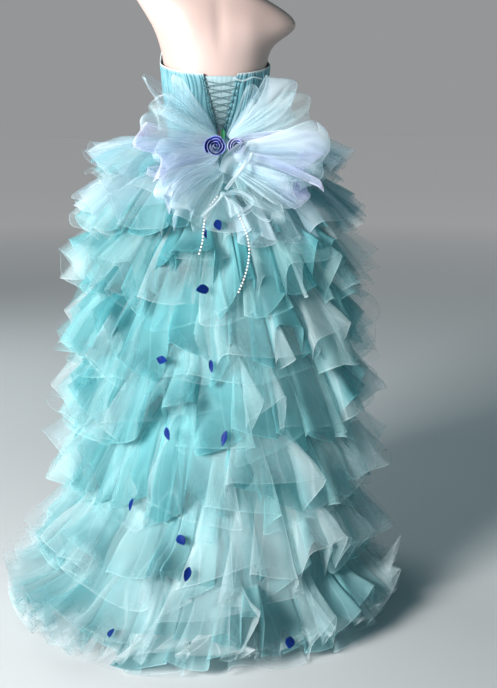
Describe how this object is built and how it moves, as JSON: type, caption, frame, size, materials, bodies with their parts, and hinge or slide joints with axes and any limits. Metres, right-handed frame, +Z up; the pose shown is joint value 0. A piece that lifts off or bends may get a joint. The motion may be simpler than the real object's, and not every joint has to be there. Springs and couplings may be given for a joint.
{
  "type": "ball gown on a limbless dress form",
  "caption": "Strapless tulle ball gown with ruffled tiers, laced back, bow, silk roses, loose petals and pearl strings, on a limbless dress form with a pole and round base.",
  "frame": {"origin": "centre of the stand base's underside, on the floor", "axes": "+Z up, -Y towards the laced back and the train, +Y towards the front, +X to the right when looking at the laced back"},
  "size_m": [0.9842, 1.0545, 1.6668],
  "materials": {
    "form": "smooth ivory-pink skin",
    "steel": "plain satin",
    "satin": "ruched teal satin and net",
    "lace_cord": "thin satin cord",
    "underskirt": "deep teal lining cloth",
    "tulle": "stiff aqua tulle",
    "pale_tulle": "stiff pale tulle",
    "organza": "glossy lavender organza",
    "blue_silk": "royal blue silk",
    "lilac_silk": "lilac silk",
    "leaf_silk": "green silk",
    "pearl": "pearl coated beads"
  },
  "bodies": {
    "root": {"form_torso": "form", "form_base": "steel", "form_pole": "steel", "bodice_front": "satin", "bodice_back_right": "satin", "bodice_back_left": "satin", "modesty_panel": "satin", "back_lacing": "lace_cord", "underskirt": "underskirt", "tier_1": "pale_tulle", "tier_2": "pale_tulle", "tier_3": "tulle", "tier_4": "tulle", "tier_5": "tulle", "tier_6": "tulle", "tier_7": "tulle", "tier_8": "tulle", "petal_1": "blue_silk", "petal_2": "blue_silk", "petal_3": "blue_silk", "petal_4": "blue_silk", "petal_5": "blue_silk", "petal_6": "blue_silk", "petal_7": "blue_silk", "petal_8": "blue_silk", "petal_9": "blue_silk", "petal_10": "blue_silk", "petal_11": "blue_silk", "petal_12": "blue_silk", "bow_knot": "pale_tulle", "bow_fan_left": "pale_tulle", "bow_fan_right": "pale_tulle", "bow_organza_left": "organza", "bow_organza_right": "organza", "bow_puff_left": "pale_tulle", "bow_puff_right": "pale_tulle", "rose_blue": "blue_silk", "rose_lilac": "lilac_silk", "rose_leaf": "leaf_silk", "tulle_tie": "pale_tulle", "tulle_tie_knot": "pale_tulle", "pearl_string_left": "pearl", "pearl_string_right": "pearl"}
  },
  "joints": []
}
